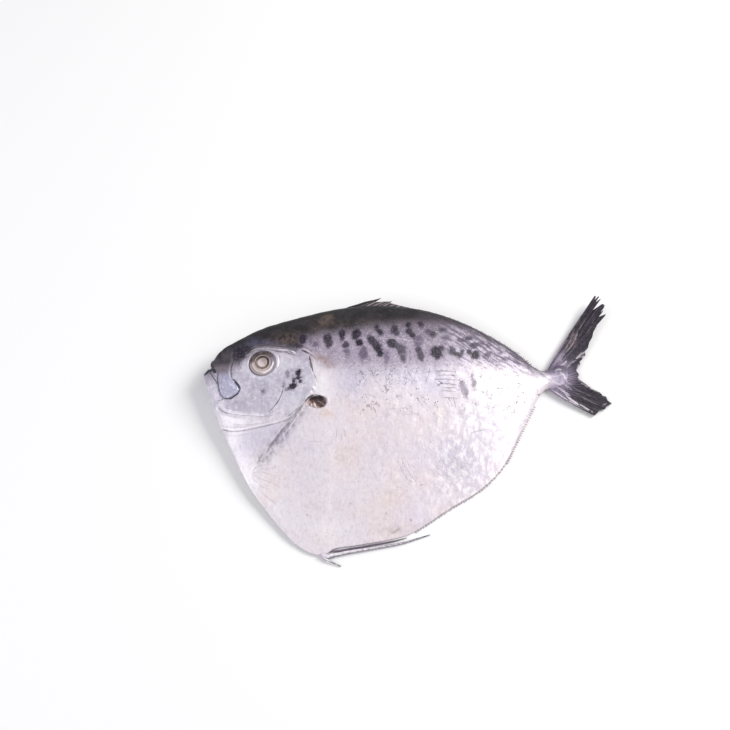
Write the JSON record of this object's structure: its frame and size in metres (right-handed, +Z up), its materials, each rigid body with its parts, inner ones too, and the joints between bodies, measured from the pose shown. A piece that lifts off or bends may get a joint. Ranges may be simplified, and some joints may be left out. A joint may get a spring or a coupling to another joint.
{
  "type": "moonfish",
  "caption": "Whole fresh moonfish lying on its side: thin silver fish with a very deep keeled belly, spotted dark back and a forked tail.",
  "frame": {"origin": "on the resting surface, under the middle of the whole fish's box", "axes": "the fish lies on its right side: +X from snout to tail, +Y towards the back, +Z up, out of the left side"},
  "size_m": [0.213, 0.1498, 0.0215],
  "materials": {
    "skin": "wet silver skin, dark slate along the back",
    "fin": "wet dark fin skin with fine rays",
    "ray": "pale bony fin ray",
    "eye": "cloudy, wet",
    "flesh": "raw, brown red"
  },
  "bodies": {
    "root": {"body": "skin", "left_eye": "eye", "right_eye": "eye", "left_pectoral_fin_stump": "flesh", "right_pectoral_fin_stump": "flesh", "tail_fin": "fin", "dorsal_fin": "fin", "anal_fin": "ray", "left_pelvic_fin": "ray", "right_pelvic_fin": "fin"}
  },
  "joints": []
}
